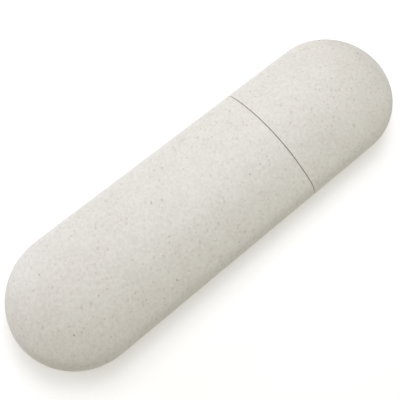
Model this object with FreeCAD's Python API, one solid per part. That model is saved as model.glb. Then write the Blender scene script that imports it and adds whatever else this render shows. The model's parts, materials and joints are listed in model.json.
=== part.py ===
"""Travel toothbrush case: a flattened capsule of two moulded shells that meet at a push-fit neck.

Millimetres, +Z up. The case lies along X with its cap at +X. The origin is on the surface that
the case lies on, under the middle of the case.
"""
import FreeCAD, Part
import math
import os

from FreeCAD import Vector

# Outer form: a stadium in plan, and across it two shallow crowns joined by a rounded side edge.
CASE_LENGTH = 205.0
CASE_WIDTH = 60.5
CASE_THICKNESS = 29.2
EDGE_RADIUS = 9.0
REST_LAND_WIDTH = 9.0

# The seam between the body and the cap, all round the case.
CAP_LENGTH = 67.0
SEAM_GAP = 0.3
RIM_RADIUS = 0.3

# Shell walls, and the rails inside them that the neck sleeve stops against.
SHELL_WALL = 2.0
RAIL_HEIGHT = 1.4
RAIL_WIDTH = 1.6
RAIL_PITCH = 13.0
RAILS_EACH_SIDE = 1
CAP_LEAD_IN = 0.6

# Neck sleeve: bonded into the body's mouth, with the cap pushed over its free end.
SLEEVE_WALL = 1.5
SLEEVE_SEAT_LENGTH = 14.0
SLEEVE_NECK_LENGTH = 15.0
SLEEVE_LEAD_IN = 0.5
BOND_GAP = 0.05
NECK_CLEARANCE = 0.25

# Grip bead round the sleeve's free end, which the cap slides over.
BEAD_RUNNING_GAP = 0.05
BEAD_FROM_FRONT = 4.0
BEAD_CREST = 0.8
BEAD_FLANK = 0.6

HALF_WIDTH = CASE_WIDTH / 2
HALF_THICKNESS = CASE_THICKNESS / 2
END_CENTRE = CASE_LENGTH / 2 - HALF_WIDTH
EDGE_CENTRE = HALF_WIDTH - EDGE_RADIUS

# The crown arc is centred on the mid line and runs tangent into the edge arc.
CROWN_RADIUS = (
    (HALF_WIDTH ** 2 + HALF_THICKNESS ** 2 - 2 * HALF_WIDTH * EDGE_RADIUS)
    / (2 * (HALF_THICKNESS - EDGE_RADIUS))
)
CROWN_DROP = CROWN_RADIUS - HALF_THICKNESS
TANGENT_ANGLE = math.atan2(EDGE_CENTRE, CROWN_DROP)

# The case lies on a strip cut flat along its lower crown.
REST_LAND_DEPTH = CROWN_RADIUS - math.sqrt(CROWN_RADIUS ** 2 - (REST_LAND_WIDTH / 2) ** 2)
MID_HEIGHT = HALF_THICKNESS - REST_LAND_DEPTH

CAP_RIM_X = CASE_LENGTH / 2 - CAP_LENGTH
BODY_RIM_X = CAP_RIM_X - SEAM_GAP
SLEEVE_BACK_X = BODY_RIM_X - SLEEVE_SEAT_LENGTH
SLEEVE_FRONT_X = BODY_RIM_X + SLEEVE_NECK_LENGTH

SEAT_INSET = SHELL_WALL + BOND_GAP
NECK_INSET = SHELL_WALL + NECK_CLEARANCE
BEAD_INSET = SHELL_WALL + BEAD_RUNNING_GAP
BORE_INSET = SEAT_INSET + SLEEVE_WALL

# A cutting solid reaches one wall past the face that it cuts through.
CUT_PAST = SHELL_WALL

BODY_END = -1
CAP_END = 1
SAME_PLACE = 1e-6


def lens_points(inset):
    """Apex height, tangent point and side of the section, set in from the outer surface."""
    crown = CROWN_RADIUS - inset
    apex = HALF_THICKNESS - inset
    tangent_y = crown * math.sin(TANGENT_ANGLE)
    tangent_z = crown * math.cos(TANGENT_ANGLE) - CROWN_DROP
    side = HALF_WIDTH - inset
    return apex, tangent_y, tangent_z, side


def arc(start, through, end):
    return Part.Arc(start, through, end).toShape()


def lens_wire(x, inset):
    """The case's cross-section at x: two crown arcs and two side arcs."""
    apex, tangent_y, tangent_z, side = lens_points(inset)

    def at(y, z):
        return Vector(x, y, MID_HEIGHT + z)

    return Part.Wire([
        arc(at(-tangent_y, tangent_z), at(0, apex), at(tangent_y, tangent_z)),
        arc(at(tangent_y, tangent_z), at(side, 0), at(tangent_y, -tangent_z)),
        arc(at(tangent_y, -tangent_z), at(0, -apex), at(-tangent_y, -tangent_z)),
        arc(at(-tangent_y, -tangent_z), at(-side, 0), at(-tangent_y, tangent_z)),
    ])


def round_end(end, inset):
    """Half of the section turned half a circle about the upright axis at one end of the case."""
    apex, tangent_y, tangent_z, side = lens_points(inset)
    crown_middle = TANGENT_ANGLE / 2
    middle_y = (CROWN_RADIUS - inset) * math.sin(crown_middle)
    middle_z = (CROWN_RADIUS - inset) * math.cos(crown_middle) - CROWN_DROP
    centre_x = end * END_CENTRE

    def at(y, z):
        return Vector(centre_x, -end * y, MID_HEIGHT + z)

    half_section = Part.Wire([
        arc(at(0, apex), at(middle_y, middle_z), at(tangent_y, tangent_z)),
        arc(at(tangent_y, tangent_z), at(side, 0), at(tangent_y, -tangent_z)),
        arc(at(tangent_y, -tangent_z), at(middle_y, -middle_z), at(0, -apex)),
        Part.LineSegment(at(0, -apex), at(0, apex)).toShape(),
    ])
    return Part.Face(half_section).revolve(Vector(centre_x, 0, 0), Vector(0, 0, 1), 180)


def closed_half(end, inset, mouth_x):
    """The capsule from its round end to a flat mouth, set in from the outer surface."""
    centre_x = end * END_CENTRE
    straight = Part.Face(lens_wire(centre_x, inset)).extrude(Vector(mouth_x - centre_x, 0, 0))
    return straight.fuse(round_end(end, inset)).removeSplitter()


def below_rest_plane():
    """Everything that the flat strip under the case is cut away from."""
    return Part.makeBox(
        CASE_LENGTH + 2 * CUT_PAST, CASE_WIDTH + 2 * CUT_PAST, HALF_THICKNESS,
        Vector(-CASE_LENGTH / 2 - CUT_PAST, -HALF_WIDTH - CUT_PAST, -HALF_THICKNESS),
    )


def rails(end, stop_x):
    """Low rails along the inside of a shell, round its end and back, from stop_x."""
    tip_x = end * CASE_LENGTH / 2
    core = closed_half(end, SHELL_WALL + RAIL_HEIGHT, stop_x - end * CUT_PAST)
    bars = []
    for step in range(-RAILS_EACH_SIDE, RAILS_EACH_SIDE + 1):
        corner = Vector(min(tip_x, stop_x), step * RAIL_PITCH - RAIL_WIDTH / 2, -CUT_PAST)
        bar = Part.makeBox(abs(tip_x - stop_x), RAIL_WIDTH, CASE_THICKNESS + 2 * CUT_PAST, corner)
        bars.append(bar.cut(core))
    return bars


def lies_at(edge, x):
    box = edge.BoundBox
    return abs(box.XMin - x) < SAME_PLACE and abs(box.XMax - x) < SAME_PLACE


def flare(rim_x, deep_x, inset, widening):
    """A slightly tapered plug that opens out a mouth so that a sleeve finds its way in."""
    return Part.makeLoft(
        [lens_wire(rim_x, inset - widening / 2), lens_wire(deep_x, inset)], True, True,
    )


def shell(end, rim_x, stop_x, lead_in=0.0):
    """One moulded shell: rounded rim, flat strip below, hollow, with rails inside."""
    outer = closed_half(end, 0.0, rim_x)
    rim_edges = [edge for edge in outer.Edges if lies_at(edge, rim_x)]
    outer = outer.makeFillet(RIM_RADIUS, rim_edges).cut(below_rest_plane())
    hollow = closed_half(end, SHELL_WALL, rim_x - end * CUT_PAST)
    for rail in rails(end, stop_x):
        hollow = hollow.cut(rail)
    moulded = outer.cut(hollow)
    if lead_in:
        moulded = moulded.cut(flare(rim_x, rim_x + end * lead_in, SHELL_WALL, lead_in))
    return moulded


def body_shell():
    return shell(BODY_END, BODY_RIM_X, SLEEVE_BACK_X)


def cap_shell():
    return shell(CAP_END, CAP_RIM_X, SLEEVE_FRONT_X, CAP_LEAD_IN)


def neck_sleeve():
    """A ring that follows the section: its seat in the body, its neck, its bead and its lead-in."""
    bead_end = SLEEVE_FRONT_X - BEAD_FROM_FRONT
    stations = [
        (SLEEVE_BACK_X, SEAT_INSET),
        (BODY_RIM_X, SEAT_INSET),
        (BODY_RIM_X + NECK_CLEARANCE, NECK_INSET),
        (bead_end - BEAD_CREST - 2 * BEAD_FLANK, NECK_INSET),
        (bead_end - BEAD_CREST - BEAD_FLANK, BEAD_INSET),
        (bead_end - BEAD_FLANK, BEAD_INSET),
        (bead_end, NECK_INSET),
        (SLEEVE_FRONT_X - 2 * SLEEVE_LEAD_IN, NECK_INSET),
        (SLEEVE_FRONT_X, NECK_INSET + SLEEVE_LEAD_IN),
    ]
    outside = Part.makeLoft([lens_wire(x, inset) for x, inset in stations], True, True)
    bore_start = SLEEVE_BACK_X - CUT_PAST
    bore_length = SLEEVE_FRONT_X - SLEEVE_BACK_X + 2 * CUT_PAST
    bore = Part.Face(lens_wire(bore_start, BORE_INSET)).extrude(Vector(bore_length, 0, 0))
    return outside.cut(bore)


NODES = {
    "body_shell": body_shell,
    "neck_sleeve": neck_sleeve,
    "cap_shell": cap_shell,
}


def main():
    os.makedirs("parts", exist_ok=True)
    for name, make in NODES.items():
        piece = make()
        piece.exportStep(os.path.join("parts", name + ".step"))
        box = piece.BoundBox
        print(
            f"{name}: valid {piece.isValid()}, {len(piece.Solids)} solid, {piece.Volume / 1000:.2f} cm3, "
            f"x {box.XMin:.2f} to {box.XMax:.2f}, z {box.ZMin:.2f} to {box.ZMax:.2f}"
        )


main()
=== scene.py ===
# %% [markdown]
# # A travel case for a toothbrush
#
# The case is a flattened capsule, moulded in two shells from a pale plastic that is filled with
# ground straw. The long body and the short cap meet at one thin seam. Inside the seam a sleeve
# makes the neck that the cap is pushed over.
#
# Nothing on this case is hidden by detail, so three things carry the picture: a clean outline,
# a surface whose highlights flow without a ripple, and a plastic that looks flecked and not painted.

# %% Load the frame
import json
import math

import bmesh
import bpy
from mathutils import Matrix, Vector

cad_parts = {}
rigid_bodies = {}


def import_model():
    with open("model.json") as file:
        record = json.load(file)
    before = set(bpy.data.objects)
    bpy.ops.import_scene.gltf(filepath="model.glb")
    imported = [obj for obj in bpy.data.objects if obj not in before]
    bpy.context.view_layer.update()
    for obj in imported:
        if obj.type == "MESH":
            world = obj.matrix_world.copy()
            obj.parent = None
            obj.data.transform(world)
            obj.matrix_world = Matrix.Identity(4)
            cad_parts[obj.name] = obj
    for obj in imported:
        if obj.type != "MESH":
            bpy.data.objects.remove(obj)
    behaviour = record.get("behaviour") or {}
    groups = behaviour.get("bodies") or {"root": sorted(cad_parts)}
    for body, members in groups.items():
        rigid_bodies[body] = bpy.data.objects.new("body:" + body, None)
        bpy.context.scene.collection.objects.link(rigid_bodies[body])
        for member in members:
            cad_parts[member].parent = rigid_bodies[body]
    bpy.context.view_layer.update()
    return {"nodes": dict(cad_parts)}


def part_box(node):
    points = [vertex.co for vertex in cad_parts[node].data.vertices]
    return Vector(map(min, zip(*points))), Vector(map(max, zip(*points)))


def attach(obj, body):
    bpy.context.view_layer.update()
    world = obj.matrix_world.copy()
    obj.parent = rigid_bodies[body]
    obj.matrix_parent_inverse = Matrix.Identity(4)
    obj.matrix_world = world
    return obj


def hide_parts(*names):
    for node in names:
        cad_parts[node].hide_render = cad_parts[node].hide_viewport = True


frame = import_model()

print("CAD pieces:", sorted(frame["nodes"]))

# %% [markdown]
# ## Sizes
#
# Blender's unit is the metre, so every millimetre is written times `MM`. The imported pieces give
# what can be measured from outside: the length, the width, the height and where the seam and the
# sleeve lie. What their boxes can't show, such as the radius of the side edge, is named here.

# %% Sizes
MM = 0.001

body_low, body_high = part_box("body_shell")
cap_low, cap_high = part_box("cap_shell")
sleeve_low, sleeve_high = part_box("neck_sleeve")

HALF_WIDTH = body_high.y
HALF_THICKNESS = 14.6 * MM
EDGE_RADIUS = 9.0 * MM
MID_HEIGHT = body_high.z - HALF_THICKNESS
END_CENTRE = cap_high.x - HALF_WIDTH

SHELL_WALL = 2.0 * MM
RIM_ROUND = 0.3 * MM
LEAD_IN_ROUND = 0.5 * MM

print(f"half width {HALF_WIDTH / MM:.2f} mm, round ends centred {END_CENTRE / MM:.2f} mm from the middle")
print(f"seam from {body_high.x / MM:.2f} to {cap_low.x / MM:.2f} mm")

# %% [markdown]
# ## A small vocabulary for node trees
#
# The shells follow a rule, so Geometry Nodes make them, and the plastics are node trees too.
# Wiring hundreds of sockets by hand is hard to read. A `Term` wraps one socket that holds a number:
# adding or multiplying terms adds Math nodes to the tree, so that a formula in the script looks like
# a formula. `node` adds any other node and fills its inputs, from a term, a socket or a plain value.

# %% Node vocabulary
def plug(value, socket):
    """Feeds an input socket from a term, an output socket or a plain value."""
    source = getattr(value, "socket", value)
    if isinstance(source, bpy.types.NodeSocket):
        socket.id_data.links.new(source, socket)
    else:
        socket.default_value = source


def node(tree, kind, inputs=(), **settings):
    """Adds a node, sets its properties, then fills its inputs by name or number."""
    made = tree.nodes.new(kind)
    for name, value in settings.items():
        setattr(made, name, value)
    for name, value in dict(inputs).items():
        plug(value, made.inputs[name])
    return made


class Term:
    """A number in a node tree. Arithmetic on it adds Math nodes."""

    def __init__(self, socket):
        self.socket = socket
        self.tree = socket.id_data

    def math(self, operation, *others):
        values = enumerate((self, *others))
        return Term(node(self.tree, "ShaderNodeMath", values, operation=operation).outputs[0])

    def __add__(self, other):
        return self.math("ADD", other)

    def __sub__(self, other):
        return self.math("SUBTRACT", other)

    def __rsub__(self, other):
        return self.math("MULTIPLY_ADD", -1.0, other)

    def __mul__(self, other):
        return self.math("MULTIPLY", other)

    def __truediv__(self, other):
        return self.math("DIVIDE", other)

    def __abs__(self):
        return self.math("ABSOLUTE")

    def clamped(self):
        """The same number, kept between 0 and 1."""
        return self.math("MAXIMUM", 0.0).math("MINIMUM", 1.0)

    __radd__ = __add__
    __rmul__ = __mul__


def pick(choice, when_true, when_false):
    """One of two terms, by a third that is 0 or 1."""
    return when_false + choice * (when_true - when_false)


def split(tree, vector):
    return [Term(part) for part in node(tree, "ShaderNodeSeparateXYZ", {0: vector}).outputs]


def combine(tree, *parts):
    return node(tree, "ShaderNodeCombineXYZ", enumerate(parts)).outputs[0]


def new_tree(name, inputs, outputs):
    """A Geometry Nodes tree with named sockets. Gives the tree, its inputs and its output node."""
    tree = bpy.data.node_groups.new(name, "GeometryNodeTree")
    for in_out, sockets in (("INPUT", inputs), ("OUTPUT", outputs)):
        for socket_name, kind in sockets.items():
            tree.interface.new_socket(socket_name, in_out=in_out, socket_type="NodeSocket" + kind)
    start = tree.nodes.new("NodeGroupInput")
    given = {}
    for socket_name, kind in inputs.items():
        socket = start.outputs[socket_name]
        given[socket_name] = Term(socket) if kind in ("Float", "Int") else socket
    return tree, given, tree.nodes.new("NodeGroupOutput")


print("node vocabulary ready")

# %% [markdown]
# ## The rule of the surface
#
# Cut across, the case is a lens: a shallow crown above, the same below, and a round edge on each
# side. Every arc meets the next along a common tangent, so the way that the surface faces turns
# smoothly from straight up, round the edge, to straight down. That makes the facing angle, here
# called the tilt, a good name for a place on the section. A wall is easy with it as well: a point
# that lies some depth under the surface is moved back along the same facing direction.
#
# This group turns a tilt and a depth into a reach, sideways from the case's spine, and a rise above
# its middle plane. The wall, the sleeve and the inner rails all use it, so they fit each other.

# %% Section rule
LENS_SIZES = {"Half Width": "Float", "Half Thickness": "Float", "Edge Radius": "Float"}

lens_rule, size, rule_end = new_tree(
    "Lens section",
    {"Tilt": "Float", "Depth": "Float", **LENS_SIZES},
    {"Reach": "Float", "Rise": "Float", "Crown Radius": "Float", "Crown Tilt": "Float"},
)
edge_centre = size["Half Width"] - size["Edge Radius"]
crown_radius = (
    size["Half Width"] * size["Half Width"] + size["Half Thickness"] * size["Half Thickness"]
    - 2.0 * size["Half Width"] * size["Edge Radius"]
) / (2.0 * (size["Half Thickness"] - size["Edge Radius"]))
crown_drop = crown_radius - size["Half Thickness"]
crown_tilt = edge_centre.math("ARCTAN2", crown_drop)

sideways = size["Tilt"].math("SINE")
upwards = size["Tilt"].math("COSINE")
on_crown = abs(upwards).math("GREATER_THAN", crown_tilt.math("COSINE"))
reach = pick(on_crown, crown_radius * sideways, edge_centre + size["Edge Radius"] * sideways)
rise_on_crown = crown_radius * upwards - crown_drop * upwards.math("SIGN")
rise = pick(on_crown, rise_on_crown, size["Edge Radius"] * upwards)
plug(reach - size["Depth"] * sideways, rule_end.inputs["Reach"])
plug(rise - size["Depth"] * upwards, rule_end.inputs["Rise"])
plug(crown_radius, rule_end.inputs["Crown Radius"])
plug(crown_tilt, rule_end.inputs["Crown Tilt"])


def lens(tree, sizes, tilt=0.0, depth=0.0):
    """Uses the section rule inside another tree. Gives its outputs as terms by name."""
    group = tree.nodes.new("GeometryNodeGroup")
    group.node_tree = lens_rule
    plug(tilt, group.inputs["Tilt"])
    plug(depth, group.inputs["Depth"])
    for size_name in LENS_SIZES:
        plug(sizes[size_name], group.inputs[size_name])
    return {socket.name: Term(socket) for socket in group.outputs}


def around_section(arcs_passed, start, crown_end):
    """A tilt that grows from start over the upper crown, the edge and the lower crown.

    arcs_passed runs from 0 to 3: one unit for each of the three arcs.
    """
    upper = arcs_passed.clamped()
    edge = (arcs_passed - 1.0).clamped()
    lower = (arcs_passed - 2.0).clamped()
    return start + (crown_end - start) * (upper + lower) + (math.pi - 2.0 * crown_end) * edge


print("section rule:", len(lens_rule.nodes), "nodes")

# %% [markdown]
# ## Helpers for the trees
#
# The two trees that follow number the points of a line, sweep one curve along another and end in the
# same way: smooth faces, real geometry in place of instances, and a material. A fillet or a sweep
# makes new points, so a place that is needed later has to be captured before it.

# %% Tree helpers
def capture(tree, geometry, kind, field):
    """Keeps a field on the points of a geometry, through the steps that follow."""
    keeper = tree.nodes.new("GeometryNodeCaptureAttribute")
    keeper.capture_items.new(kind, "Kept")
    plug(geometry, keeper.inputs["Geometry"])
    plug(field, keeper.inputs["Kept"])
    return keeper.outputs["Geometry"], keeper.outputs["Kept"]


def point_attribute(tree, name, kind):
    reader = node(tree, "GeometryNodeInputNamedAttribute", {"Name": name}, data_type=kind)
    return reader.outputs["Attribute"]


def counted_line(tree, steps):
    """A straight curve with its points numbered from 0. Gives the curve and the number as a term."""
    line = node(tree, "GeometryNodeCurvePrimitiveLine").outputs["Curve"]
    even = node(tree, "GeometryNodeResampleCurve", {"Curve": line, "Count": steps + 1}).outputs["Curve"]
    curve, number = capture(tree, even, "FLOAT", node(tree, "GeometryNodeInputIndex").outputs[0])
    return curve, Term(number)


def finish_tree(tree, geometry, material, end):
    smooth = node(tree, "GeometryNodeSetShadeSmooth", {"Geometry": geometry}).outputs[0]
    real = node(tree, "GeometryNodeRealizeInstances", {"Geometry": smooth}).outputs[0]
    painted = node(tree, "GeometryNodeSetMaterial", {"Geometry": real, "Material": material}).outputs[0]
    plug(painted, end.inputs["Geometry"])


print("tree helpers ready")

# %% [markdown]
# ## A wall from its plan
#
# Seen from above and cut at the middle plane, a shell is a U: an outer line, a round end, and an
# inner line that comes back one wall further in. A few corners draw that U, each with a fillet
# radius of its own: half the width at the round end, a fraction of a millimetre at the rim.
#
# The tree fillets the corners, sweeps the loop along a dummy profile to get a grid of quads, and then
# puts each point where the section rule says. The loop gives the place along the spine, the direction
# away from it and the depth under the surface. The profile gives the tilt. Where the two sides meet
# on the spine, the doubled points are merged. A last step keeps the shell above the table, which cuts
# the narrow flat strip that the case lies on.

# %% Wall tree
ARCS_IN_SECTION = 3
MERGE_DISTANCE = 2e-6

wall_tree, size, wall_end = new_tree(
    "Case wall",
    {
        "Geometry": "Geometry", **LENS_SIZES, "End Centre": "Float", "Mid Height": "Float",
        "Rows In An Arc": "Int", "Material": "Material",
    },
    {"Geometry": "Geometry"},
)
loop = node(wall_tree, "GeometryNodeMeshToCurve", {"Mesh": size["Geometry"]}).outputs["Curve"]
corners = {
    "Curve": loop,
    "Radius": point_attribute(wall_tree, "corner_radius", "FLOAT"),
    "Count": point_attribute(wall_tree, "corner_steps", "INT"),
}
filleted = node(wall_tree, "GeometryNodeFilletCurve", corners, mode="POLY").outputs["Curve"]
place = node(wall_tree, "GeometryNodeInputPosition").outputs[0]
rail, plan = capture(wall_tree, filleted, "VECTOR", place)
profile, row = counted_line(wall_tree, size["Rows In An Arc"] * float(ARCS_IN_SECTION))
swept = {"Curve": rail, "Profile Curve": profile}
sheet = node(wall_tree, "GeometryNodeCurveToMesh", swept).outputs["Mesh"]

plan_x, plan_y, _ = split(wall_tree, plan)
spine_x = plan_x.math("MINIMUM", size["End Centre"]).math("MAXIMUM", size["End Centre"] * -1.0)
off_spine = plan_x - spine_x
distance = (off_spine * off_spine + plan_y * plan_y).math("SQRT")
crown_end = lens(wall_tree, size)["Crown Tilt"]
tilt = around_section(row / size["Rows In An Arc"], 0.0, crown_end)
spot = lens(wall_tree, size, tilt, size["Half Width"] - distance)
height = (spot["Rise"] + size["Mid Height"]).math("MAXIMUM", 0.0)
outward = spot["Reach"] / distance
target = combine(wall_tree, spine_x + off_spine * outward, plan_y * outward, height)
placed = node(wall_tree, "GeometryNodeSetPosition", {"Geometry": sheet, "Position": target}).outputs[0]
closed = node(wall_tree, "GeometryNodeMergeByDistance", {"Geometry": placed, "Distance": MERGE_DISTANCE})
finish_tree(wall_tree, closed.outputs[0], size["Material"], wall_end)

print("wall tree:", len(wall_tree.nodes), "nodes")

# %% [markdown]
# ## Rails inside the shells
#
# Low rails run along the inside of each shell, round its end and back. They stop the sleeve at the
# right depth and hold a wet brush off the wall. They repeat, so a line of points carries one straight
# bar each, and the section rule then bends every bar round the inside of the shell. Each bar starts
# a little inside the wall, so that no gap shows under it.

# %% Rail tree
RAIL_LENGTH_STEPS = 120
STRAIGHT_SHARE = 0.25
RAIL_CORNER_STEPS = 3

rail_tree, size, rail_end = new_tree(
    "Inner rails",
    {
        "Geometry": "Geometry", **LENS_SIZES, "End Centre": "Float", "Mid Height": "Float",
        "Wall": "Float", "Stop": "Float", "Rails": "Int", "Pitch": "Float", "Rail Width": "Float",
        "Rail Height": "Float", "Rail Round": "Float", "Sunk": "Float", "Material": "Material",
    },
    {"Geometry": "Geometry"},
)
first_y = (size["Rails"] - 1.0) * size["Pitch"] * -0.5
line_of_points = node(rail_tree, "GeometryNodeMeshLine", {
    "Count": size["Rails"],
    "Start Location": combine(rail_tree, 0.0, first_y, 0.0),
    "Offset": combine(rail_tree, 0.0, size["Pitch"], 0.0),
}).outputs["Mesh"]
place = node(rail_tree, "GeometryNodeInputPosition").outputs[0]
line_of_points, rail_place = capture(rail_tree, line_of_points, "VECTOR", place)

bar_line, step = counted_line(rail_tree, RAIL_LENGTH_STEPS)
bar_outline = node(rail_tree, "GeometryNodeCurvePrimitiveQuadrilateral", {
    "Width": size["Rail Width"],
    "Height": size["Rail Height"] + size["Sunk"],
}).outputs["Curve"]
bar_outline = node(rail_tree, "GeometryNodeFilletCurve", {
    "Curve": bar_outline, "Radius": size["Rail Round"], "Count": RAIL_CORNER_STEPS,
}, mode="POLY").outputs["Curve"]
bar_outline, bar_corner = capture(rail_tree, bar_outline, "VECTOR", place)
bar = node(rail_tree, "GeometryNodeCurveToMesh", {
    "Curve": bar_line, "Profile Curve": bar_outline, "Fill Caps": True,
}).outputs["Mesh"]
one_at_each = {"Points": line_of_points, "Instance": bar}
bars = node(rail_tree, "GeometryNodeInstanceOnPoints", one_at_each).outputs[0]
bars = node(rail_tree, "GeometryNodeRealizeInstances", {"Geometry": bars}).outputs[0]

corner_x, corner_y, _ = split(rail_tree, bar_corner)
side = size["End Centre"].math("SIGN")
rail_y = split(rail_tree, rail_place)[1] - corner_x * side
depth = size["Wall"] + (size["Rail Height"] - size["Sunk"]) * 0.5 + corner_y
crown = lens(rail_tree, size)
start_tilt = (abs(rail_y) / (crown["Crown Radius"] - depth)).math("ARCSINE")
along = step / float(RAIL_LENGTH_STEPS)
out = (along / STRAIGHT_SHARE).clamped()
back_again = ((along - (1.0 - STRAIGHT_SHARE)) / STRAIGHT_SHARE).clamped()
going = out - back_again
turning = (along - STRAIGHT_SHARE) * (ARCS_IN_SECTION / (1.0 - 2.0 * STRAIGHT_SHARE))
spot = lens(rail_tree, size, around_section(turning, start_tilt, crown["Crown Tilt"]), depth)
beyond = (spot["Reach"] * spot["Reach"] - rail_y * rail_y).math("MAXIMUM", 0.0).math("SQRT")
rail_x = size["Stop"] + (size["End Centre"] - size["Stop"]) * going + beyond * side
target = combine(rail_tree, rail_x, rail_y, size["Mid Height"] + spot["Rise"])
bent = node(rail_tree, "GeometryNodeSetPosition", {"Geometry": bars, "Position": target}).outputs[0]
both = node(rail_tree, "GeometryNodeJoinGeometry")
rail_tree.links.new(size["Geometry"], both.inputs[0])
rail_tree.links.new(bent, both.inputs[0])
finish_tree(rail_tree, both.outputs[0], size["Material"], rail_end)

print("rail tree:", len(rail_tree.nodes), "nodes")

# %% [markdown]
# ## Straw-filled plastic
#
# The shells are moulded from a pale resin filled with ground straw. Close to, the colour is never
# even: it clouds a little over a few millimetres, it is grainy below one, and bits of husk lie in it.
# Most bits are pale chaff and dust, hardly darker than the resin. Some are short fibres, and a few are
# brown husk. The list says how big, how common and how dark each kind is.

# %% Kinds of fleck
RESIN = (0.732, 0.716, 0.663)
SHADE_OF_RESIN = (0.648, 0.628, 0.572)

CHAFF = (0.52, 0.48, 0.40)
DUST = (0.42, 0.38, 0.31)
HUSK = (0.20, 0.17, 0.13)


def fibres(cell, turn, colour):
    """One kind of short fibre: all of its bits lie the same way."""
    return dict(
        cell=cell, share=0.50, radii=(0.14, 0.24), length=4.0, turn=turn, colour=colour, strength=0.65,
    )


FLECKS = (
    # Cells and radii are in millimetres and turns in degrees. The share is of the cells that hold a bit,
    # the length is for a width of 1, and the strength says how well the bit covers the resin.
    dict(cell=1.8, share=0.60, radii=(0.40, 0.80), length=1.4, turn=60, colour=CHAFF, strength=0.55),
    dict(cell=1.7, share=0.50, radii=(0.18, 0.45), length=1.3, turn=20, colour=DUST, strength=0.72),
    fibres(1.9, 35, (0.46, 0.42, 0.33)),
    fibres(2.0, 100, (0.48, 0.44, 0.35)),
    fibres(1.8, 155, (0.44, 0.41, 0.34)),
    dict(cell=4.5, share=0.16, radii=(0.24, 0.48), length=1.5, turn=70, colour=HUSK, strength=0.85),
)
print("kinds of fleck:", len(FLECKS))

# %% [markdown]
# ## Flecks in the wall
#
# A picture texture would stretch at the round ends. Noise and cells in space don't, because they are
# read at the point's own place in the object, as if the fleck were really inside the wall. A cell
# texture gives each bit: one random number decides whether the cell holds a bit, one its size and
# one how dark it is.

# %% Texture helpers
# The soft edge is a share of the largest radius, and the palest bit a share of the full strength.
SOFT_EDGE = 0.5
PALEST_BIT = 0.4


def noise(tree, coords, size_mm, detail=2.0):
    """Soft noise whose features are about size_mm across."""
    inputs = {"Vector": coords, "Scale": 1.0 / size_mm, "Detail": detail}
    return Term(node(tree, "ShaderNodeTexNoise", inputs).outputs["Fac"])


def mix_colour(tree, share, first, second):
    mixer = node(tree, "ShaderNodeMix", data_type="RGBA")
    for number, value in ((0, share), (6, first), (7, second)):
        plug((*value, 1.0) if isinstance(value, tuple) else value, mixer.inputs[number])
    return mixer.outputs[2]


def fleck_mask(tree, coords, cell, share, radii, length, turn):
    """How much of a bit of straw there is at each place, from 0 to 1."""
    stretched = node(tree, "ShaderNodeMapping", {
        "Vector": coords, "Rotation": (0.0, 0.0, math.radians(turn)), "Scale": (length, 1.0, 1.0),
    }, vector_type="TEXTURE").outputs[0]
    cells = node(tree, "ShaderNodeTexVoronoi", {"Vector": stretched, "Scale": 1.0 / cell})
    chance, girth, darkness = split(tree, cells.outputs["Color"])
    radius = radii[0] + girth * (radii[1] - radii[0])
    inside = ((radius - Term(cells.outputs["Distance"]) * cell) / (SOFT_EDGE * radii[1])).clamped()
    return inside * chance.math("LESS_THAN", share) * (PALEST_BIT + darkness * (1.0 - PALEST_BIT))


def object_millimetres(tree, shift):
    """The point's place in the object, in millimetres, moved by shift."""
    place = node(tree, "ShaderNodeTexCoord").outputs["Object"]
    return node(tree, "ShaderNodeMapping", {
        "Vector": place, "Location": shift, "Scale": (1.0 / MM,) * 3,
    }).outputs[0]


def new_material(name):
    material = bpy.data.materials.new(name)
    material.use_nodes = True
    return material, material.node_tree, material.node_tree.nodes["Principled BSDF"]


print("texture helpers ready")

# %% [markdown]
# ## Layers of the straw plastic
#
# Clouds and grain mix two shades of resin. Each kind of fleck is then laid over them, with its edge
# torn by a little noise. The same layers shape the skin: the bits are sunk a little and duller than
# the resin round them. The body and the cap get their own shift, so no fleck runs across the seam.

# %% Straw plastic
# Feature sizes in millimetres.
CLOUD_SIZE = 9.0
GRAIN_SIZE = 1.4
SKIN_SIZE = 0.35
TEAR_SIZE = 0.4
TEAR_REACH = 0.35
SKIN_DEPTH = 0.03 * MM

# Where the grain turns to the paler resin, and what each layer adds to the height and the roughness.
GRAIN_CONTRAST = 2.2
PALE_FROM = 1.0
SKIN_RELIEF = 0.6
GRAIN_RELIEF = 0.4
BIT_PITS = 0.5
RELIEF_STRENGTH = 0.35
SHELL_ROUGHNESS = 0.42
CLOUD_ROUGHNESS = 0.06
GRAIN_ROUGHNESS = 0.10
BIT_ROUGHNESS = 0.08
SHELL_GLOSS = 0.4


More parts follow.
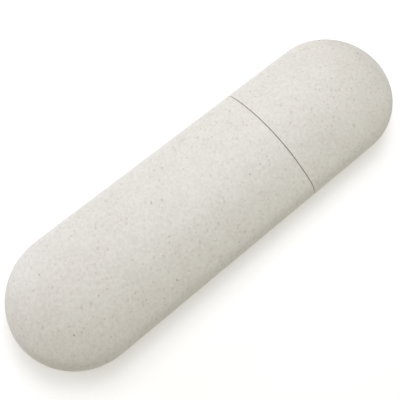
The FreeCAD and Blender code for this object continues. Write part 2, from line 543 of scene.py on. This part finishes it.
def straw_plastic(name, shift):
    material, tree, shader = new_material(name)
    coords = object_millimetres(tree, shift)
    tear = {"Vector": coords, "Scale": 1.0 / TEAR_SIZE, "Detail": 1.0}
    ragged = node(tree, "ShaderNodeTexNoise", tear).outputs["Color"]
    moved = {0: ragged, 1: (TEAR_REACH,) * 3, 2: coords}
    torn = node(tree, "ShaderNodeVectorMath", moved, operation="MULTIPLY_ADD").outputs[0]

    cloud = noise(tree, coords, CLOUD_SIZE)
    grain = noise(tree, coords, GRAIN_SIZE)
    pale = (cloud + grain * GRAIN_CONTRAST - PALE_FROM).clamped()
    colour = mix_colour(tree, pale, SHADE_OF_RESIN, RESIN)
    bits = 0.0
    for fleck in FLECKS:
        shape = {key: value for key, value in fleck.items() if key not in ("colour", "strength")}
        mask = fleck_mask(tree, torn, **shape)
        colour = mix_colour(tree, mask * fleck["strength"], colour, fleck["colour"])
        bits = mask + bits

    skin = noise(tree, coords, SKIN_SIZE)
    height = skin * SKIN_RELIEF + grain * GRAIN_RELIEF - bits * BIT_PITS
    uneven = {"Height": height, "Strength": RELIEF_STRENGTH, "Distance": SKIN_DEPTH}
    bump = node(tree, "ShaderNodeBump", uneven).outputs[0]
    roughness = SHELL_ROUGHNESS + cloud * CLOUD_ROUGHNESS + grain * GRAIN_ROUGHNESS + bits * BIT_ROUGHNESS
    plug(colour, shader.inputs["Base Color"])
    plug(roughness, shader.inputs["Roughness"])
    plug(bump, shader.inputs["Normal"])
    shader.inputs["Specular IOR Level"].default_value = SHELL_GLOSS
    return material


body_plastic = straw_plastic("straw_plastic_body", (0.0, 0.0, 0.0))
cap_plastic = straw_plastic("straw_plastic_cap", (37.0, 11.0, 5.0))
print("straw plastic:", len(body_plastic.node_tree.nodes), "nodes")

# %% [markdown]
# ## Sleeve plastic
#
# The sleeve is an unfilled ivory plastic, smoother than the shells because it has to slide. The cap
# rubs along it each time, always the same way, so its only marks are faint streaks along the case.
# Noise that is stretched along X makes them, in the roughness, and a very little in the colour and the
# height.

# %% Sleeve plastic
IVORY = (0.80, 0.77, 0.70)
WORN_IVORY = (0.73, 0.70, 0.63)
STREAK_SIZE = 0.5
STREAK_STRETCH = 0.06
RUB_SIZE = 6.0
STREAK_DETAIL = 3.0
STREAK_DEPTH = 0.02 * MM
STREAK_RELIEF = 0.2
STREAK_ROUGHNESS = 0.16
SLEEVE_ROUGHNESS = 0.26


def sleeve_plastic(name):
    material, tree, shader = new_material(name)
    coords = object_millimetres(tree, (0.0, 0.0, 0.0))
    drawn_out = {"Vector": coords, "Scale": (STREAK_STRETCH, 1.0, 1.0)}
    streaked = node(tree, "ShaderNodeMapping", drawn_out).outputs[0]
    streaks = noise(tree, streaked, STREAK_SIZE, STREAK_DETAIL)
    cloud = noise(tree, coords, RUB_SIZE)
    colour = mix_colour(tree, streaks * 0.5 + cloud * 0.5, WORN_IVORY, IVORY)
    uneven = {"Height": streaks, "Strength": STREAK_RELIEF, "Distance": STREAK_DEPTH}
    bump = node(tree, "ShaderNodeBump", uneven).outputs[0]
    plug(colour, shader.inputs["Base Color"])
    plug(SLEEVE_ROUGHNESS + streaks * STREAK_ROUGHNESS, shader.inputs["Roughness"])
    plug(bump, shader.inputs["Normal"])
    return material


neck_plastic = sleeve_plastic("neck_plastic")
print("sleeve plastic:", len(neck_plastic.node_tree.nodes), "nodes")

# %% [markdown]
# ## Moulding the shells
#
# Now the corners of each U are written down, from the tip along the outside to the rim, and back along
# the inside. The straight runs get a few more points, so that the quads stay close to square, and one
# point just behind the rim: without it the smooth shading would smear the tight fillet over the last
# quad. The cap's inner corner is rounder than the body's, because it has to find its way over the
# sleeve.

# %% Outline corners
STRAIGHT_STEPS = 20
ROUND_STEPS = 32
RIM_STEPS = 5
BEHIND_RIM = 0.7 * MM


def shell_outline(tip, rim, inner_round):
    """The corners of a shell's wall in plan: x, y, fillet radius and fillet steps."""
    inwards = math.copysign(1.0, tip - rim)
    centre = inwards * END_CENTRE
    outer = HALF_WIDTH
    inner = HALF_WIDTH - SHELL_WALL
    run = [rim + inwards * BEHIND_RIM]
    run += [rim + (centre - rim) * step / STRAIGHT_STEPS for step in range(1, STRAIGHT_STEPS)]
    half = [(tip, outer, outer, ROUND_STEPS)]
    half += [(x, outer, 0.0, 0) for x in reversed(run)]
    half += [(rim, outer, RIM_ROUND, RIM_STEPS), (rim, inner, inner_round, RIM_STEPS)]
    half += [(x, inner, 0.0, 0) for x in run]
    half += [(tip - inwards * SHELL_WALL, inner, inner, ROUND_STEPS)]
    whole = half + mirrored(half)
    return whole if inwards > 0 else whole[::-1]


def mirrored(corners):
    """The same corners on the other side of the spine, in the order that keeps faces outwards."""
    return [(x, -y, radius, steps) for x, y, radius, steps in reversed(corners)]


print("corners of the body:", len(shell_outline(body_low.x, body_high.x, RIM_ROUND)))

# %% [markdown]
# ## From corners to a plain mesh
#
# Each piece starts as a loop of edges with two node modifiers, or one for the sleeve. The result is
# read back as a plain mesh and the modifiers go, because a finished piece carries no live ones.

# %% Moulding steps
def outline_mesh(name, loops):
    """Closed loops of edges whose points carry their fillet radius and steps."""
    points = [corner for loop in loops for corner in loop]
    edges = []
    for loop in loops:
        first = len(edges)
        edges += [(first + step, first + (step + 1) % len(loop)) for step in range(len(loop))]
    mesh = bpy.data.meshes.new(name)
    mesh.from_pydata([(x, y, 0.0) for x, y, _, _ in points], edges, [])
    radii = mesh.attributes.new("corner_radius", "FLOAT", "POINT")
    steps = mesh.attributes.new("corner_steps", "INT", "POINT")
    radii.data.foreach_set("value", [corner[2] for corner in points])
    steps.data.foreach_set("value", [corner[3] for corner in points])
    return mesh


def mould(name, mesh, recipes):
    """An object made by node modifiers on a loop of edges, read back as a plain mesh."""
    piece = bpy.data.objects.new(name, mesh)
    bpy.context.scene.collection.objects.link(piece)
    for tree, inputs in recipes:
        modifier = piece.modifiers.new(tree.name, "NODES")
        modifier.node_group = tree
        for socket in tree.interface.items_tree:
            if socket.in_out == "INPUT" and socket.name in inputs:
                modifier[socket.identifier] = inputs[socket.name]
    shaped = piece.evaluated_get(bpy.context.evaluated_depsgraph_get())
    plain = bpy.data.meshes.new_from_object(shaped)
    plain.name = name
    piece.modifiers.clear()
    piece.data = plain
    return piece


def report(piece):
    """Prints a piece's faces, its volume and whether any edge is open."""
    form = bmesh.new()
    form.from_mesh(piece.data)
    open_edges = sum(not edge.is_manifold for edge in form.edges)
    volume = form.calc_volume(signed=True) / MM ** 3 / 1000
    print(f"{piece.name}: {len(form.faces)} faces, {volume:.2f} cm3, {open_edges} open edges")
    form.free()


print("moulding steps ready")

# %% [markdown]
# ## The body and the cap
#
# Both shells have the same recipe, a wall and then the rails inside it. The rails of each shell end
# where the sleeve does, so the sleeve stops against them.

# %% Mould the shells
ROWS_IN_AN_ARC = 22

lens_sizes = {
    "Half Width": HALF_WIDTH, "Half Thickness": HALF_THICKNESS, "Edge Radius": EDGE_RADIUS,
}
rail_sizes = {
    "Wall": SHELL_WALL, "Rails": 3, "Pitch": 13.0 * MM, "Rail Width": 1.6 * MM,
    "Rail Height": 1.4 * MM, "Rail Round": 0.4 * MM, "Sunk": 0.4 * MM,
}


def shell(name, tip, rim, inner_round, stop, material):
    shared = {**lens_sizes, "Mid Height": MID_HEIGHT, "Material": material}
    outline = outline_mesh(name, [shell_outline(tip, rim, inner_round)])
    wall = {**shared, "End Centre": END_CENTRE, "Rows In An Arc": ROWS_IN_AN_ARC}
    rails = {**shared, **rail_sizes, "End Centre": math.copysign(END_CENTRE, tip), "Stop": stop}
    piece = mould(name, outline, [(wall_tree, wall), (rail_tree, rails)])
    report(piece)
    return piece


straw_body = shell("straw_body", body_low.x, body_high.x, RIM_ROUND, sleeve_low.x, body_plastic)
straw_cap = shell("straw_cap", cap_high.x, cap_low.x, LEAD_IN_ROUND, sleeve_high.x, cap_plastic)

# %% [markdown]
# ## Moulding the sleeve
#
# The sleeve is a ring with the same section. Cut along the case, its wall is a thin bar: the seat in
# the body, a small step, the neck, a low bead that grips the cap, and a tapered front. So the same
# tree makes it, from two loops of corners, one on each side of the spine.

# %% Mould the sleeve
SLEEVE_WALL = 1.5 * MM
NECK_STEP = 0.2 * MM
BEAD_FROM_FRONT = 4.0 * MM
BEAD_CREST = 0.8 * MM
BEAD_FLANK = 0.6 * MM
LEAD_IN = 0.5 * MM
SLEEVE_ROUND = 0.2 * MM
SLEEVE_CORNER_STEPS = 3


def sleeve_outline():
    """The corners of the sleeve's wall on one side of the spine."""
    seat = sleeve_high.y
    neck = seat - NECK_STEP
    bore = seat - SLEEVE_WALL
    front = sleeve_high.x
    bead = front - BEAD_FROM_FRONT
    stations = [
        (front, bore), (front, neck - LEAD_IN), (front - 2 * LEAD_IN, neck),
        (bead, neck), (bead - BEAD_FLANK, seat),
        (bead - BEAD_FLANK - BEAD_CREST, seat), (bead - 2 * BEAD_FLANK - BEAD_CREST, neck),
        (body_high.x + NECK_STEP, neck), (body_high.x, seat), (sleeve_low.x, seat), (sleeve_low.x, bore),
    ]
    return [(x, y, SLEEVE_ROUND, SLEEVE_CORNER_STEPS) for x, y in stations]


one_side = sleeve_outline()
sleeve_inputs = {
    **lens_sizes, "End Centre": END_CENTRE, "Mid Height": MID_HEIGHT,
    "Rows In An Arc": ROWS_IN_AN_ARC, "Material": neck_plastic,
}
ring = outline_mesh("ivory_neck", [one_side, mirrored(one_side)])
ivory_neck = mould("ivory_neck", ring, [(wall_tree, sleeve_inputs)])
report(ivory_neck)

# %% [markdown]
# ## Riding on the frame
#
# Each moulded piece stands for one piece of the frame and moves with its body. The sleeve is bonded
# into the body's mouth, so it stays behind when the cap comes off.

# %% Ride
for piece, body, cad_node, finish in (
    (straw_body, "case_body", "body_shell", "straw_plastic"),
    (straw_cap, "cap", "cap_shell", "straw_plastic"),
    (ivory_neck, "case_body", "neck_sleeve", "neck_plastic"),
):
    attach(piece, body)
    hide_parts(cad_node)

# %% [markdown]
# ## A white table
#
# The case lies on a bright white surface that keeps only a soft shadow beside it. A floor that is
# merely lit white would need so much light that the case burns out, so the floor adds some light of
# its own, and only for rays that the eye can follow: those from the camera, in a reflection or
# through something clear. The case itself is lit as by any pale table. Away from the case, where no
# shadow falls, that light grows until the floor is as white as the room and no horizon shows.
#
# The room is treated the same way: those rays see it white, and all others get its even, slightly
# warm light.

# %% Floor and world
FLOOR_SIZE = 3.0
FLOOR_COLOUR = (0.96, 0.96, 0.96, 1.0)
FLOOR_ROUGHNESS = 0.9
FLOOR_OWN_LIGHT = 0.26
SHADOWS_END = 0.20
WHITE_FROM = 0.48
AMBIENT = 0.372
AMBIENT_TINT = (1.11, 1.05, 0.85)


def seen_rays(tree):
    """1 for a ray from the camera, a reflection or a refraction, else 0."""
    path = node(tree, "ShaderNodeLightPath")
    camera_ray = Term(path.outputs["Is Camera Ray"])
    return (camera_ray + path.outputs["Is Glossy Ray"] + path.outputs["Is Transmission Ray"]).clamped()


bpy.ops.mesh.primitive_plane_add(size=FLOOR_SIZE)
floor = bpy.context.object
floor.name = "table"
table_finish, tree, shader = new_material("white_table")
shader.inputs["Base Color"].default_value = FLOOR_COLOUR
shader.inputs["Roughness"].default_value = FLOOR_ROUGHNESS
shader.inputs["Specular IOR Level"].default_value = 0.0
shader.inputs["Emission Color"].default_value = (1.0, 1.0, 1.0, 1.0)
floor_x, floor_y, _ = split(tree, node(tree, "ShaderNodeTexCoord").outputs["Object"])
from_case = (floor_x * floor_x + floor_y * floor_y).math("SQRT")
far_off = ((from_case - SHADOWS_END) / (WHITE_FROM - SHADOWS_END)).clamped()
own_light = FLOOR_OWN_LIGHT + far_off * (1.0 - FLOOR_OWN_LIGHT)
plug(seen_rays(tree) * own_light, shader.inputs["Emission Strength"])
floor.data.materials.append(table_finish)

world = bpy.data.worlds.new("white_room")
world.use_nodes = True
bpy.context.scene.world = world
sky = world.node_tree.nodes["Background"]
seen = seen_rays(world.node_tree)
room_light = tuple(AMBIENT * part for part in AMBIENT_TINT)
plug(mix_colour(world.node_tree, seen, room_light, (1.0, 1.0, 1.0)), sky.inputs["Color"])
print("floor", FLOOR_SIZE, "m across, ambient light", AMBIENT)

# %% [markdown]
# ## Light
#
# The far shoulder of the case is the brightest, the near edge falls into gentle shade, and the body
# darkens a little towards its end. The room's even light, slightly warm, gives about half of that.
# A large softbox stands low behind the case and brightens the far shoulder. Two small ones hang close
# over the cap's half: their light falls off along the case, which leaves the body's end darker. All
# three are slightly cool, so the shaded side looks warmer than the lit one.

# %% Softboxes
SOFTBOXES = {
    # name: azimuth and elevation in degrees, distance and size in metres, power in watts, colour
    "over_softbox": (150, 65, 0.36, 0.24, 0.44, (0.98, 0.97, 1.06)),
    "low_softbox": (-150, 12, 0.70, 0.45, 1.75, (0.94, 0.94, 1.14)),
    "cap_softbox": (90, 82, 0.36, 0.24, 0.34, (0.92, 0.98, 1.12)),
}


def direction(azimuth, elevation):
    """The direction from the case to what stands at that azimuth and elevation, in degrees."""
    turn = math.radians(azimuth)
    lift = math.radians(elevation)
    return Vector((
        math.sin(turn) * math.cos(lift), -math.cos(turn) * math.cos(lift), math.sin(lift),
    ))


def softbox(name, azimuth, elevation, distance, size, power, colour):
    light = bpy.data.lights.new(name, "AREA")
    light.color = colour
    light.shape = "DISK"
    light.size = size
    light.energy = power
    lamp = bpy.data.objects.new(name, light)
    away = direction(azimuth, elevation)
    lamp.location = Vector((0.0, 0.0, MID_HEIGHT)) + away * distance
    lamp.rotation_euler = away.to_track_quat("Z", "Y").to_euler()
    bpy.context.scene.collection.objects.link(lamp)
    return lamp


for name, setting in SOFTBOXES.items():
    softbox(name, *setting)
print("softboxes:", list(SOFTBOXES))

# %% [markdown]
# ## Camera
#
# The view is steep and close, and the case lies across it from corner to corner. Azimuth and
# elevation say where the camera stands, the roll tips its horizon, and the target lies on the
# case's spine, a little towards the body.

# %% Camera
CAMERA_AZIMUTH = -44.352
CAMERA_ELEVATION = 73.97
CAMERA_ROLL = 4.801
CAMERA_DISTANCE = 248.37 * MM
CAMERA_TARGET = Vector((-5.713 * MM, 0.0, MID_HEIGHT))
CAMERA_LENS = 50.412
CAMERA_SENSOR = 36.0

roll = math.radians(CAMERA_ROLL)
turn = math.radians(CAMERA_AZIMUTH)
back = direction(CAMERA_AZIMUTH, CAMERA_ELEVATION)
level = Vector((math.cos(turn), math.sin(turn), 0.0))
above = back.cross(level)
right = level * math.cos(roll) + above * math.sin(roll)
up = above * math.cos(roll) - level * math.sin(roll)

camera = bpy.data.objects.new("camera", bpy.data.cameras.new("camera"))
camera.data.sensor_width = CAMERA_SENSOR
camera.data.lens = CAMERA_LENS
facing = Matrix((right, up, back)).transposed().to_4x4()
camera.matrix_world = Matrix.Translation(CAMERA_TARGET + back * CAMERA_DISTANCE) @ facing
bpy.context.scene.collection.objects.link(camera)
bpy.context.scene.camera = camera
bpy.context.scene.view_settings.view_transform = "Standard"
print("camera at", [round(part / MM, 1) for part in camera.matrix_world.translation], "mm")
